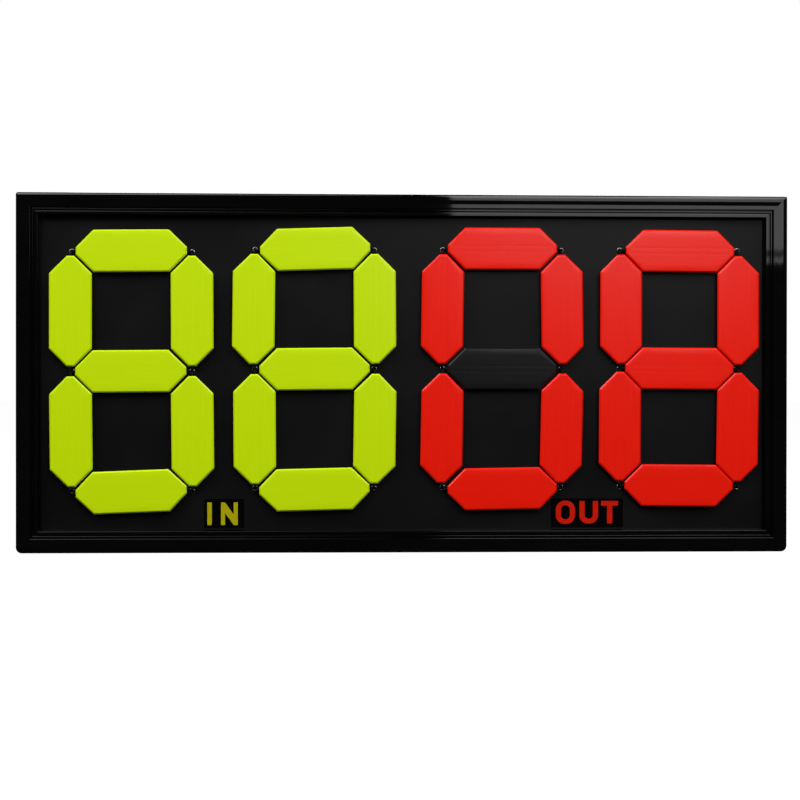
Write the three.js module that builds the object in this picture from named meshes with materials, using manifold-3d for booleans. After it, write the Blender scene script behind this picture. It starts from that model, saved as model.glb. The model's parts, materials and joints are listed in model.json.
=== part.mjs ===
// A hand-set number board for sports substitutions: a mitred black frame round a dark panel,
// with four seven-segment digits made of 28 loose flaps. Each flap is coloured on one face and
// black on the other, is threaded on an elastic cord along its long axis, and is turned over to
// show or hide its stroke. Millimetres, X to the right, Y to the back, Z up, front towards -Y.
import * as THREE from 'three';
import { mergeVertices } from 'three/addons/utils/BufferGeometryUtils.js';
import Module from 'manifold-3d';

const wasm = await Module();
wasm.setup();

// Depths, counted from the front face of the panel
const crestStand = 11;          // how far the frame stands in front of the panel
const panelThickness = 2.5;
const coverThickness = 2.5;

// Frame moulding, outer edge inwards
const topCornerRadius = 2;
const bottomCornerRadius = 5.5; // the board stands and drops on these two
const edgeRadius = 2.5;
const bandWidth = 13.4;         // broad outer band
const bandFall = 0.6;           // how much the band slopes down towards the beads
const grooveDepth = 2.8;
const grooveWidth = 0.5;
const beadWidth = 2.6;
const beadRise = 1.4;
const lipWidth = 3.4;
const lipRise = 1.1;
const lipSlope = 1.1;           // sideways run of the slope from the lip down to the panel
const webWidth = 12.2;          // solid web behind the rebate for the panel
const coverRebate = 4.2;        // width of frame left round the back cover

// Flap, a flat octagon with its four corners cut at 45 degrees
const flapLength = 103;
const flapWidth = 39.5;
const flapThickness = 5.5;
const flapBevel = 1.25;
const boreDiameter = 3.2;
const axisStand = 5;            // distance from the panel to the cord that the flap turns on
const turnGap = 1.75;           // between a turning flap's edge and the back cover

// Digits, and the bare panel between them and the frame
const junctionGap = 8.8;        // between the ends of two flaps in line, with a cord hole midway
const cornerStep = 1.05;        // sideways, from a cut corner to the diagonal through that hole
const digitGap = 17.7;          // between the two digits of one number
const numberGap = 24.1;         // between the two numbers
const leftMargin = 10.5;
const rightMargin = 4.4;
const topMargin = 10.9;
const bottomMargin = 18.4;      // the widest, because the labels reach into it

// Elastic cord and its eyelets
const cordDiameter = 2.4;
const stemDiameter = 2.6;
const knotDiameter = 5.6;
const cordStraight = 1;         // straight cord past each end of a flap
const cordSteps = 2;            // stretches in each bend
const eyeletHole = 3.2;
const eyeletDiameter = 5.4;
const eyeletRise = 0.7;
const eyeletSink = 0.4;

// Back cover, its screws, and the posts that brace the panel
const screwInset = 110;         // from a long rail's end to its first screw
const screwDiameter = 2.8;
const screwLength = 11;
const headDiameter = 6.4;
const headDepth = 1.8;
const headRecess = 0.2;
const postDiameter = 12;

// Corner keys, L-shaped plates pushed into pockets across each mitre
const keyArm = 32;
const keyWidth = 4.5;
const keyThickness = 3;
const keyInset = 3.2;           // from the frame's outer edges
const keyDepth = 6;             // behind the panel's front face

// Labels below the digits
const labelThickness = 0.5;
const labelHeight = 27;
const inLabelWidth = 37;
const outLabelWidth = 68;
const inLabelRight = 0.1;       // how far the labels lie to the right of their number's middle
const outLabelRight = -2.3;
const labelGap = 1.4;           // from the frame's lip up to the labels

// Fits
const fit = 0.3;                // gap between separate pieces
const apertureHide = 0.25;      // how far an aperture's edge stays inside its flap's outline
const apertureShort = 1.1;      // how far it stops short of the flap's ends
const overrun = 5;              // how far a cutting tool runs past what it cuts
const slack = 1;                // play of a flap on its cord, the unit of the shifts below
const tilt = THREE.MathUtils.degToRad(1);   // the unit of the tilts below

// A digit is two junctions wide and three high, and a flap's flat end is what its cut corners leave
const junctionPitch = flapLength + junctionGap;
const flapEnd = junctionGap - 2 * cornerStep;
const digitWidth = junctionPitch + flapWidth;
const digitHeight = 2 * junctionPitch + flapWidth;
const digitPitch = digitWidth + digitGap;
const numberPitch = digitPitch + digitWidth + numberGap;

// The board is as large as its digits, the bare panel round them and the moulding
const mouldingWidth = bandWidth + beadWidth + lipWidth + lipSlope + 2 * grooveWidth;
const digitsWidth = numberPitch + digitPitch + digitWidth;
const boardWidth = digitsWidth + leftMargin + rightMargin + 2 * mouldingWidth;
const boardHeight = digitHeight + topMargin + bottomMargin + 2 * mouldingWidth;
const digitsRight = (leftMargin - rightMargin) / 2;
const digitsRise = (bottomMargin - topMargin) / 2;

// The back cover stands clear of the flaps as they turn
const coverFace = flapWidth / 2 - axisStand + turnGap;
const back = coverFace + coverThickness;
const depth = crestStand + back;

const roundSides = 12;
const eyeletSides = 8;
const boreSides = 8;
const cordSides = 6;
const cornerSteps = 4;

const finish = {
  frame: new THREE.MeshStandardMaterial({ color: 0x0a0a0b, roughness: 0.22, metalness: 0 }),
  panel: new THREE.MeshStandardMaterial({ color: 0x181919, roughness: 0.55, metalness: 0 }),
  cover: new THREE.MeshStandardMaterial({ color: 0x1b1b1c, roughness: 0.7, metalness: 0 }),
  lime: new THREE.MeshStandardMaterial({ color: 0xbddb17, roughness: 0.42, metalness: 0 }),
  red: new THREE.MeshStandardMaterial({ color: 0xdb2010, roughness: 0.42, metalness: 0 }),
  black: new THREE.MeshStandardMaterial({ color: 0x1b1c1e, roughness: 0.42, metalness: 0 }),
  cord: new THREE.MeshStandardMaterial({ color: 0x08080a, roughness: 0.9, metalness: 0 }),
  steel: new THREE.MeshStandardMaterial({ color: 0x8c8c88, roughness: 0.4, metalness: 1 }),
  label: new THREE.MeshStandardMaterial({ color: 0x060606, roughness: 0.6, metalness: 0 }),
};

const board = new THREE.Group();

function place(name, geometry, material) {
  const mesh = new THREE.Mesh(geometry, material);
  mesh.name = name;
  board.add(mesh);
  return mesh;
}

// A closed three.js geometry as a solid for joining and cutting
function solid(geometry) {
  const bare = geometry.clone();
  bare.deleteAttribute('normal');
  bare.deleteAttribute('uv');
  const merged = mergeVertices(bare);
  const corners = merged.index.array;
  const kept = [];
  for (let i = 0; i < corners.length; i += 3) {
    const [a, b, c] = corners.slice(i, i + 3);
    if (a !== b && b !== c && c !== a) kept.push(a, b, c);
  }
  return new wasm.Manifold(new wasm.Mesh({
    numProp: 3,
    vertProperties: merged.attributes.position.array,
    triVerts: Uint32Array.from(kept),
  }));
}

function geometryOf(manifold) {
  const mesh = manifold.getMesh();
  const geometry = new THREE.BufferGeometry();
  geometry.setAttribute('position', new THREE.BufferAttribute(mesh.vertProperties, 3));
  geometry.setIndex(new THREE.BufferAttribute(mesh.triVerts, 1));
  geometry.computeVertexNormals();
  return geometry;
}

// A plate parallel to the board: the outline's x and y become X and Z, from depth y0 back to y1
function plate(shape, y0, y1, bevel = null) {
  const options = { depth: y1 - y0, bevelEnabled: bevel !== null, ...bevel };
  const geometry = new THREE.ExtrudeGeometry(shape, options);
  return geometry.rotateX(Math.PI / 2).translate(0, y1, 0);
}

// A round pin along Y at (x, z), from y0 back to y1
function pin(x, z, diameter, y0, y1, sides = roundSides) {
  const geometry = new THREE.CylinderGeometry(diameter / 2, diameter / 2, y1 - y0, sides);
  return geometry.translate(x, (y0 + y1) / 2, z);
}

function rectangle(width, height) {
  const shape = new THREE.Shape();
  shape.moveTo(-width / 2, -height / 2);
  shape.lineTo(width / 2, -height / 2);
  shape.lineTo(width / 2, height / 2);
  shape.lineTo(-width / 2, height / 2);
  return shape;
}

// The outline of a flap along X, drawn in by `inset` all round and by `endInset` at its two ends
function flapOutline(inset, endInset) {
  const halfLength = flapLength / 2 - endInset;
  const halfWidth = flapWidth / 2 - inset;
  // along the cut corner, x + y stays at this sum
  const cutSum = flapLength / 2 + flapEnd / 2 - inset * Math.SQRT2;
  return [
    [cutSum - halfWidth, halfWidth], [halfLength, cutSum - halfLength],
    [halfLength, halfLength - cutSum], [cutSum - halfWidth, -halfWidth],
    [halfWidth - cutSum, -halfWidth], [-halfLength, halfLength - cutSum],
    [-halfLength, cutSum - halfLength], [halfWidth - cutSum, halfWidth],
  ].map(([x, y]) => new THREE.Vector2(x, y));
}

// The seven strokes of a digit: place from the digit's middle in shares of the junctions' pitch,
// and whether it stands upright
const strokeShares = {
  top: { across: 0, up: 1, upright: false },
  upper_left: { across: -0.5, up: 0.5, upright: true },
  upper_right: { across: 0.5, up: 0.5, upright: true },
  middle: { across: 0, up: 0, upright: false },
  lower_left: { across: -0.5, up: -0.5, upright: true },
  lower_right: { across: 0.5, up: -0.5, upright: true },
  bottom: { across: 0, up: -1, upright: false },
};

// The cord holes' columns and rows, and the panel's two islands inside the strokes, in the same
const columnShares = [-0.5, 0.5];
const rowShares = [-1, 0, 1];
const islandShares = [0.5, -0.5];

// How each flap hangs on its slack cord: shares of the slack to the right and up, and of the
// tilt, anticlockwise seen from the front, in the order of the strokes above
const hangShares = {
  in_tens: [[0, 0.5, 0.5], [-0.5, 0, 0], [0.5, 0.5, 0.3], [-0.5, 0, 0.5],
    [0, -0.5, 0.6], [1, 0, 0.6], [0, -0.5, 2.2]],
  in_units: [[0.5, 0.5, 1.8], [-1, 0, -0.6], [0.5, 0.5, 0.4], [0, 0, 0.6],
    [0, -0.5, 0.4], [0.5, 0, -0.8], [0, -1, 1.4]],
  out_tens: [[0, 1, 0], [-0.5, 0, -0.8], [0.5, 0, 0.8], [0, 0, 0],
    [-1, 0, -1], [0, 0, -1.2], [0, -1, 1]],
  out_units: [[0.5, -1, -0.4], [0.5, 0, 0], [0, -1, 0], [0, 0, -0.4],
    [-0.5, 1.5, -0.3], [-0.5, 0.5, -0.8], [-0.5, 1.5, -0.5]],
};

// Where each digit's middle is drilled, in shares of the slack from the even layout
const drillShares = {
  in_tens: [-1.3, -2.1],
  in_units: [0.3, 0.3],
  out_tens: [1.2, 0.8],
  out_units: [-0.2, 1.2],
};

// Digits read 8 8 and 0 8: the middle flap of the third digit shows its black face
const hiddenStrokes = { in_tens: [], in_units: [], out_tens: ['middle'], out_units: [] };

const digits = ['in_tens', 'in_units', 'out_tens', 'out_units'].map((name, index) => {
  const number = name.startsWith('in') ? -1 : 1;
  const column = index % 2 === 0 ? -1 : 1;
  const [right, up] = drillShares[name];
  const x = digitsRight + number * numberPitch / 2 + column * digitPitch / 2 + right * slack;
  const z = digitsRise + up * slack;
  const flaps = Object.entries(strokeShares).map(([stroke, where], order) => {
    const [shiftShare, liftShare, tiltShare] = hangShares[name][order];
    return {
      name: `${name}_${stroke}_flap`,
      x: x + where.across * junctionPitch + shiftShare * slack,
      z: z + where.up * junctionPitch + liftShare * slack,
      angle: (where.upright ? Math.PI / 2 : 0) + tiltShare * tilt,
      upright: where.upright,
      across: where.across,
      up: where.up,
      hidden: hiddenStrokes[name].includes(stroke),
    };
  });
  return { name, x, z, flaps, colour: number < 0 ? finish.lime : finish.red };
});

// Cord holes: two columns and three rows at the ends of the strokes
function junctions(digit) {
  return columnShares.flatMap((across) => rowShares.map((up) => new THREE.Vector2(
    digit.x + across * junctionPitch,
    digit.z + up * junctionPitch,
  )));
}

// A flap's own frame on the board: its middle, and the turn from along-X to along its length
function flapFrame(flap) {
  const frame = new THREE.Matrix4().makeRotationY(-flap.angle);
  return frame.setPosition(flap.x, -axisStand, flap.z);
}

// A flat octagon, bevelled all round, with the cord's bore along its length
function flapGeometry() {
  const shape = new THREE.Shape(flapOutline(flapBevel, flapBevel));
  const half = flapThickness / 2;
  const bevel = { bevelSize: flapBevel, bevelThickness: flapBevel, bevelSegments: 1 };
  const body = solid(plate(shape, flapBevel - half, half - flapBevel, bevel));
  const length = flapLength + 2 * overrun;
  const bore = new THREE.CylinderGeometry(boreDiameter / 2, boreDiameter / 2, length, boreSides);
  return geometryOf(body.subtract(solid(bore.rotateZ(Math.PI / 2))));
}

function buildFlaps() {
  for (const digit of digits) {
    for (const flap of digit.flaps) {
      const colour = flap.hidden ? finish.black : digit.colour;
      const mesh = place(flap.name, flapGeometry(), colour);
      mesh.position.set(flap.x, -axisStand, flap.z);
      mesh.rotation.y = -flap.angle;
    }
  }
}

// A tube through the points: one ring square to the path at each of them
function tube(points, diameter) {
  const rings = points.map((point, i) => {
    const before = points[Math.max(i - 1, 0)];
    const after = points[Math.min(i + 1, points.length - 1)];
    const along = after.clone().sub(before).normalize();
    return { point, along };
  });
  const side = new THREE.Vector3(0, 1, 0).cross(points.at(-1).clone().sub(points[0])).normalize();
  const positions = [];
  for (const { point, along } of rings) {
    const u = side.clone().addScaledVector(along, -side.dot(along)).normalize();
    const v = along.clone().cross(u);
    for (let k = 0; k < cordSides; k += 1) {
      const turn = 2 * Math.PI * k / cordSides;
      positions.push(point.clone()
        .addScaledVector(u, Math.cos(turn) * diameter / 2)
        .addScaledVector(v, Math.sin(turn) * diameter / 2));
    }
  }
  const faces = [];
  for (let r = 0; r + 1 < rings.length; r += 1) {
    for (let k = 0; k < cordSides; k += 1) {
      const a = r * cordSides + k;
      const b = r * cordSides + (k + 1) % cordSides;
      faces.push(a, b, a + cordSides, b, b + cordSides, a + cordSides);
    }
  }
  const last = (rings.length - 1) * cordSides;
  for (let k = 1; k + 1 < cordSides; k += 1) {
    faces.push(0, k + 1, k, last, last + k, last + k + 1);
  }
  const geometry = new THREE.BufferGeometry().setFromPoints(positions);
  geometry.setIndex(faces);
  return geometry;
}

// The cord of one flap: down into a hole, round, straight through the bore, and down again
function cordPath(digit, flap) {
  const frame = flapFrame(flap);
  const reach = flapLength / 2 + cordStraight;
  const ends = [-1, 1].map((sign) => new THREE.Vector3(sign * reach, 0, 0).applyMatrix4(frame));
  const holes = columnShares.map((share) => (
    flap.upright ? [flap.across, flap.up + share] : [share, flap.up]));
  const bends = holes.map(([across, up], i) => {
    const hole = new THREE.Vector3(digit.x + across * junctionPitch, 0, digit.z + up * junctionPitch);
    const corner = new THREE.Vector3(hole.x, -axisStand, hole.z);
    const curve = new THREE.QuadraticBezierCurve3(ends[i], corner, hole);
    return curve.getPoints(cordSteps);
  });
  return [...bends[0].reverse(), ...bends[1]];
}

// One digit's cord: it runs through all seven flaps and is knotted behind each eyelet
function cordGeometry(digit) {
  let cord = null;
  const add = (geometry) => {
    cord = cord ? cord.add(solid(geometry)) : solid(geometry);
  };
  for (const flap of digit.flaps) add(tube(cordPath(digit, flap), cordDiameter));
  const knotCentre = panelThickness + fit + knotDiameter / 2;
  for (const hole of junctions(digit)) {
    add(pin(hole.x, hole.y, stemDiameter, -cordDiameter / 2, knotCentre, eyeletSides));
    const knot = new THREE.SphereGeometry(knotDiameter / 2, cordSides, cordSides / 2);
    add(knot.translate(hole.x, knotCentre, hole.y));
  }
  return geometryOf(cord);
}

function buildCords() {
  for (const digit of digits) place(`${digit.name}_cord`, cordGeometry(digit), finish.cord);
}

// The panel, with an aperture hidden behind each flap for it to swing through, and the eyelets'
// flanges round the cord holes
function buildPanel() {
  const inset = 2 * (webWidth + fit);
  const shape = rectangle(boardWidth - inset, boardHeight - inset);
  for (const digit of digits) {
    for (const flap of digit.flaps) {
      const middle = new THREE.Vector2(flap.x, flap.z);
      const outline = flapOutline(apertureHide, apertureShort).map((p) => p.add(middle));
      shape.holes.push(new THREE.Path(outline.map((p) => p.rotateAround(middle, flap.angle))));
    }
  }
  let panel = solid(plate(shape, 0, panelThickness));
  for (const hole of digits.flatMap(junctions)) {
    const flange = pin(hole.x, hole.y, eyeletDiameter, -eyeletRise, eyeletSink, eyeletSides);
    panel = panel.add(solid(flange));
  }
  for (const hole of digits.flatMap(junctions)) {
    const far = panelThickness + overrun;
    const bore = pin(hole.x, hole.y, eyeletHole, -overrun, far, eyeletSides);
    panel = panel.subtract(solid(bore));
  }
  place('front_panel', geometryOf(panel), finish.panel);
}

// Posts behind the two islands of panel that the strokes of each digit enclose
function buildPosts() {
  let count = 0;
  for (const digit of digits) {
    for (const up of islandShares) {
      count += 1;
      const z = digit.z + up * junctionPitch;
      const post = pin(digit.x, z, postDiameter, panelThickness, coverFace);
      place(`panel_post_${count}`, post, finish.black);
    }
  }
}

// Half an ellipse from u0 to u1 with its crown `rise` in front of depth y
function crown(points, u0, u1, y, rise) {
  const steps = 5;
  for (let i = 0; i <= steps; i += 1) {
    const turn = Math.PI * i / steps;
    points.push([(u0 + u1) / 2 - Math.cos(turn) * (u1 - u0) / 2, y - Math.sin(turn) * rise]);
  }
}

// The moulding's section: first value inwards from the outer edge, second the depth
function mouldingSection() {
  const points = [[0, back]];
  const steps = 3;
  for (let i = 0; i <= steps; i += 1) {
    const turn = Math.PI / 2 * i / steps;
    points.push([
      edgeRadius * (1 - Math.cos(turn)),
      edgeRadius * (1 - Math.sin(turn)) - crestStand,
    ]);
  }
  const floor = grooveDepth - crestStand;
  const bead = bandWidth + grooveWidth;
  const lip = bead + beadWidth + grooveWidth;
  points.push([bandWidth, bandFall - crestStand]);
  points.push([bandWidth, floor]);
  crown(points, bead, bead + beadWidth, floor, beadRise);
  crown(points, lip, lip + lipWidth, floor, lipRise);
  points.push([mouldingWidth, 0]);
  points.push([webWidth, 0], [webWidth, coverFace], [coverRebate, coverFace], [coverRebate, back]);
  return new THREE.Shape(points.map(([u, y]) => new THREE.Vector2(u, y)));
}

// A mitred rail whose outer edge lies on Z = 0 with the moulding below it
function railGeometry(length) {
  const geometry = new THREE.ExtrudeGeometry(mouldingSection(), { depth: 1, bevelEnabled: false });
  const position = geometry.attributes.position;
  const mitre = fit / Math.SQRT2;
  for (let i = 0; i < position.count; i += 1) {
    const [u, y, t] = [position.getX(i), position.getY(i), position.getZ(i)];
    position.setXYZ(i, (t - 0.5) * (length - 2 * u - 2 * mitre), y, -u);
  }
  return geometry;
}

// The board's outline with its rounded corners, for trimming the rails
function roundedBoard() {
  const [top, low] = [topCornerRadius, bottomCornerRadius];
  const [x, z] = [boardWidth / 2, boardHeight / 2];
  const shape = new THREE.Shape();
  shape.absarc(x - top, z - top, top, 0, Math.PI / 2);
  shape.absarc(top - x, z - top, top, Math.PI / 2, Math.PI);
  shape.absarc(low - x, low - z, low, Math.PI, 3 * Math.PI / 2);
  shape.absarc(x - low, low - z, low, 3 * Math.PI / 2, 2 * Math.PI);
  const points = shape.extractPoints(cornerSteps).shape;
  return solid(plate(new THREE.Shape(points), -crestStand - overrun, back + overrun));
}

// An L-shaped key with its outer corner at the origin and its arms towards -X and -Z,
// `grow` larger all round
function keyGeometry(grow) {
  const shape = new THREE.Shape();
  shape.moveTo(grow, grow);
  shape.lineTo(-keyArm - grow, grow);
  shape.lineTo(-keyArm - grow, -keyWidth - grow);
  shape.lineTo(-keyWidth - grow, -keyWidth - grow);
  shape.lineTo(-keyWidth - grow, -keyArm - grow);
  shape.lineTo(grow, -keyArm - grow);
  return plate(shape, keyDepth - grow, keyDepth + keyThickness + grow);
}

// The four corners: the side they lie on, across and up, and the turn that brings the key there
const corners = {
  top_right: { across: 1, up: 1, turn: 0 },
  bottom_right: { across: 1, up: -1, turn: Math.PI / 2 },
  bottom_left: { across: -1, up: -1, turn: Math.PI },
  top_left: { across: -1, up: 1, turn: 3 * Math.PI / 2 },
};

function keyAt(corner, grow) {
  const x = corner.across * (boardWidth / 2 - keyInset);
  const z = corner.up * (boardHeight / 2 - keyInset);
  return keyGeometry(grow).rotateY(corner.turn).translate(x, 0, z);
}

function buildKeys() {
  for (const [name, corner] of Object.entries(corners)) {
    place(`${name}_corner_key`, keyAt(corner, 0), finish.steel);
  }
}

// Screws of the back cover: three along each long rail and one on each stile
const screwLine = (coverRebate + webWidth) / 2;
const screwRun = boardWidth / 2 - screwInset;
const screws = [
  ...[1, -1].flatMap((up) => [-1, 0, 1].map((across) => (
    [across * screwRun, up * (boardHeight / 2 - screwLine)]))),
  [screwLine - boardWidth / 2, 0],
  [boardWidth / 2 - screwLine, 0],
];

// A countersunk screw along Y with its head at the back, `grow` larger all round
function screwGeometry(grow) {
  const head = headDiameter / 2 + grow;
  const shank = screwDiameter / 2 + grow;
  const top = back - headRecess + (grow > 0 ? overrun : 0);
  const shoulder = back - headRecess - headDepth - grow;
  const tip = back - headRecess - screwLength - grow;
  const profile = [[0, tip], [shank, tip], [shank, shoulder], [head, back - headRecess]];
  if (grow > 0) profile.push([head, top]);
  profile.push([0, top]);
  return new THREE.LatheGeometry(profile.map(([r, y]) => new THREE.Vector2(r, y)), roundSides);
}

function buildScrews() {
  screws.forEach(([x, z], i) => {
    const screw = geometryOf(solid(screwGeometry(0)));
    place(`cover_screw_${i + 1}`, screw, finish.steel).position.set(x, 0, z);
  });
}

function cutForScrews(piece) {
  let cut = piece;
  for (const [x, z] of screws) cut = cut.subtract(solid(screwGeometry(fit).translate(x, 0, z)));
  return cut;
}

const rails = {
  top_rail: { length: boardWidth, offset: boardHeight / 2, turn: 0 },
  right_stile: { length: boardHeight, offset: boardWidth / 2, turn: Math.PI / 2 },
  bottom_rail: { length: boardWidth, offset: boardHeight / 2, turn: Math.PI },
  left_stile: { length: boardHeight, offset: boardWidth / 2, turn: 3 * Math.PI / 2 },
};

function buildFrame() {
  const outline = roundedBoard();
  for (const [name, { length, offset, turn }] of Object.entries(rails)) {
    const geometry = railGeometry(length).translate(0, 0, offset).rotateY(turn);
    let rail = cutForScrews(solid(geometry).intersect(outline));
    for (const corner of Object.values(corners)) rail = rail.subtract(solid(keyAt(corner, fit)));
    place(name, geometryOf(rail), finish.frame);
  }
}

function buildCover() {
  const inset = 2 * (coverRebate + fit);
  const shape = rectangle(boardWidth - inset, boardHeight - inset);
  const cover = cutForScrews(solid(plate(shape, coverFace, back)));
  place('back_cover', geometryOf(cover), finish.cover);
}

// Thin dark label plates on the panel, one under the middle of each number
function buildLabels() {
  const labels = {
    in_label: [inLabelRight - numberPitch / 2, inLabelWidth],
    out_label: [outLabelRight + numberPitch / 2, outLabelWidth],
  };
  const z = mouldingWidth + labelGap + labelHeight / 2 - boardHeight / 2;
  for (const [name, [x, width]] of Object.entries(labels)) {
    const label = plate(rectangle(width, labelHeight), -labelThickness, 0);
    place(name, label, finish.label).position.set(digitsRight + x, 0, z);
  }
}

buildFrame();
buildPanel();
buildCover();
buildScrews();
buildKeys();
buildPosts();
buildLabels();
buildCords();
buildFlaps();

// Origin under the middle of the board, halfway through its depth
board.position.set(0, depth / 2 - back, boardHeight / 2);
const part = new THREE.Group();
part.add(board);

export default part;
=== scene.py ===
"""Looks of a hand-set number board for sports substitutions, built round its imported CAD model.

A mitred gloss black moulding stands round a satin black panel. In front of the panel hang four
seven-segment digits, made of 28 loose flaps that are coloured on one face and black on the other,
each threaded on an elastic cord. X runs to the right, Y to the back and Z up. Sizes are in
millimetres, the frame's own values are in metres, and MM turns one into the other.
"""

import json
import logging
import math
from collections.abc import Sequence
from dataclasses import dataclass
from enum import Enum
from typing import Self

import bmesh
import bpy
import numpy as np
from mathutils import Matrix, Vector
from mathutils.geometry import delaunay_2d_cdt


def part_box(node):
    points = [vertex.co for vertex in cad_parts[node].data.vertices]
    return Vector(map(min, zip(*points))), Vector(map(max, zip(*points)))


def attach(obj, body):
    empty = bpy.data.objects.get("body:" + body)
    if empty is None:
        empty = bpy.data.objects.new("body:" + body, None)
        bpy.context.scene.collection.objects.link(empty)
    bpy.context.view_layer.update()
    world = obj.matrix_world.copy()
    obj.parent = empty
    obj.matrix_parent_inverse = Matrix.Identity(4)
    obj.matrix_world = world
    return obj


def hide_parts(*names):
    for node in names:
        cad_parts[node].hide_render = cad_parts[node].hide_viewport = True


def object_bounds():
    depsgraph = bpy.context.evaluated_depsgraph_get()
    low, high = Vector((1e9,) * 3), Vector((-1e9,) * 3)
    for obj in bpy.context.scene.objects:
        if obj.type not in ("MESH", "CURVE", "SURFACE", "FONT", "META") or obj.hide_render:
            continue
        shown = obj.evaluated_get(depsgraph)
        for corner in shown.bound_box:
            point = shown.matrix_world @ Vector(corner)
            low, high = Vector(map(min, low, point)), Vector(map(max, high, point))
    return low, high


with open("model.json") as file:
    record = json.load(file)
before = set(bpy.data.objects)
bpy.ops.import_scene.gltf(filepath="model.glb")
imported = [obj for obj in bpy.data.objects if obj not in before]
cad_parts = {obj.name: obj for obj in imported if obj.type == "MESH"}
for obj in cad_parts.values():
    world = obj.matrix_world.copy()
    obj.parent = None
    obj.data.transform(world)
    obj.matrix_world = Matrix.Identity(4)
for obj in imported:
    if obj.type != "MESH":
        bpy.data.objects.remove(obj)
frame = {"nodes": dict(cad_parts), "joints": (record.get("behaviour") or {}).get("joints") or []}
cad_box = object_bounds()

MM = 0.001
MERGE = 1e-7  # a mesh's points closer than this, in metres, become one
TOUCH = 1e-7  # outlines closer than this, in millimetres, touch
PLAN = [0, 2]  # the board's plane: X and Z
BACKWARDS = np.array([0.0, 1.0, 0.0])
WHOLE = (0.0, 1.0)
NOISE_SHARES = (0.3, 0.7)  # nearly all of a noise texture's values lie between these

Array = np.ndarray
Pair = tuple[float, float]
Triple = tuple[float, float, float]
Material = bpy.types.Material
Tree = bpy.types.NodeTree
Socket = bpy.types.NodeSocket
Layers = list[tuple[Socket, float]]
Outline = list[tuple[Array, float]]

log = logging.getLogger("number_board")


class Stroke(Enum):
    """The seven strokes of a digit."""

    TOP = "top"
    UPPER_LEFT = "upper_left"
    UPPER_RIGHT = "upper_right"
    MIDDLE = "middle"
    LOWER_LEFT = "lower_left"
    LOWER_RIGHT = "lower_right"
    BOTTOM = "bottom"


class Ink(Enum):
    """The colour that a flap shows, named as the record's material slots are."""

    LIME = "lime_flap"
    RED = "red_flap"
    BLACK = "black_flap"


@dataclass
class Surface:
    """A surface in the making.

    points are (n, 3) in millimetres, faces index them, finishes gives each face's material, and
    grain gives each point's place in metres on the piece's own UV map.
    """

    points: Array
    faces: Sequence
    finishes: Array | None = None
    grain: Array | None = None


@dataclass(frozen=True)
class Box:
    """A box of the CAD model in millimetres: middle and size as (x, z), front and back as y."""

    middle: Array
    size: Array
    front: float
    back: float

    @classmethod
    def between(cls, low: Vector, high: Vector) -> Self:
        """Measures the box between two corners in metres."""
        low, high = np.array(low) / MM, np.array(high) / MM
        return cls((low + high)[PLAN] / 2, (high - low)[PLAN], low[1], high[1])

    @classmethod
    def of(cls, node: str) -> Self:
        """Measures a CAD node."""
        return cls.between(*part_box(node))

    def outline(self, inset: float) -> Array:
        """The four corners as (x, z), moved in by `inset`."""
        return self.middle + rectangle(self.size - 2 * inset)


def linear(colour: str) -> tuple[float, float, float, float]:
    """Turns an sRGB hex colour into linear light.

    Args:
        colour: six hex digits.

    Returns:
        Red, green, blue and an alpha of 1.
    """
    shares = np.array([int(colour[i : i + 2], 16) for i in (0, 2, 4)]) / 255
    light = np.where(shares <= 0.04045, shares / 12.92, ((shares + 0.055) / 1.055) ** 2.4)
    return (*light.tolist(), 1.0)


def at_depth(plan: Array, depth: float) -> Array:
    """The point of the frame at (x, z) and a depth."""
    return np.array([plan[0], depth, plan[1]])


def turned(points: Array, angle: float) -> Array:
    """Points turned round the Y axis, from Z towards X by an angle in radians."""
    cos, sin = math.cos(angle), math.sin(angle)
    return points @ np.array([[cos, 0, -sin], [0, 1, 0], [sin, 0, cos]])


def unit(vectors: Array) -> Array:
    """Vectors brought to a length of 1 along the last axis."""
    return vectors / np.linalg.norm(vectors, axis=-1, keepdims=True)


def grid_faces(rows: int, columns: int, wrap_rows: bool = False) -> Array:
    """Quads between the points of a grid whose columns always close on themselves.

    Args:
        rows: number of rings.
        columns: points in each ring.
        wrap_rows: whether the last ring joins the first.

    Returns:
        (n, 4) point numbers.
    """
    starts = np.arange(rows if wrap_rows else rows - 1)
    row, column = np.meshgrid(starts, np.arange(columns), indexing="ij")
    below, right = (row + 1) % rows, (column + 1) % columns
    ring, next_ring = row * columns, below * columns
    corners = (ring + column, ring + right, next_ring + right, next_ring + column)
    return np.stack(corners, axis=-1).reshape(-1, 4)


def gridded(grid: Array, wrap_rows: bool = False, grain: Array | None = None) -> Surface:
    """The surface over a grid of rings, (rows, columns, 3), with its grain, (rows, columns, 2)."""
    grain = None if grain is None else grain.reshape(-1, 2)
    return Surface(grid.reshape(-1, 3), grid_faces(*grid.shape[:2], wrap_rows), None, grain)


def joined(surfaces: list[Surface]) -> Surface:
    """Puts closed surfaces side by side in one, each keeping its own faces and grain.

    Args:
        surfaces: the surfaces, all with a grain or all without.

    Returns:
        The one surface.
    """
    starts = np.cumsum([0] + [len(s.points) for s in surfaces])
    faces = [[i + start for i in face] for s, start in zip(surfaces, starts) for face in s.faces]
    grain = None if surfaces[0].grain is None else np.concatenate([s.grain for s in surfaces])
    return Surface(np.concatenate([s.points for s in surfaces]), faces, None, grain)


def lathe(profile: Array, columns: int, closed: bool = False) -> Surface:
    """Turns a profile round the Y axis: point = (radius cos a, y, radius sin a).

    Args:
        profile: (n, 2) radius and y.
        columns: points in each ring.
        closed: whether the profile closes on itself, as a ring's section does.

    Returns:
        The surface; rings of radius 0 close when doubles are merged.
    """
    angle = np.linspace(0, 2 * np.pi, columns, endpoint=False)
    radius, depth = profile[:, :1], profile[:, 1:]
    grid = [radius * np.cos(angle), depth + 0 * angle, radius * np.sin(angle)]
    return gridded(np.stack(grid, axis=-1), closed)


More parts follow.
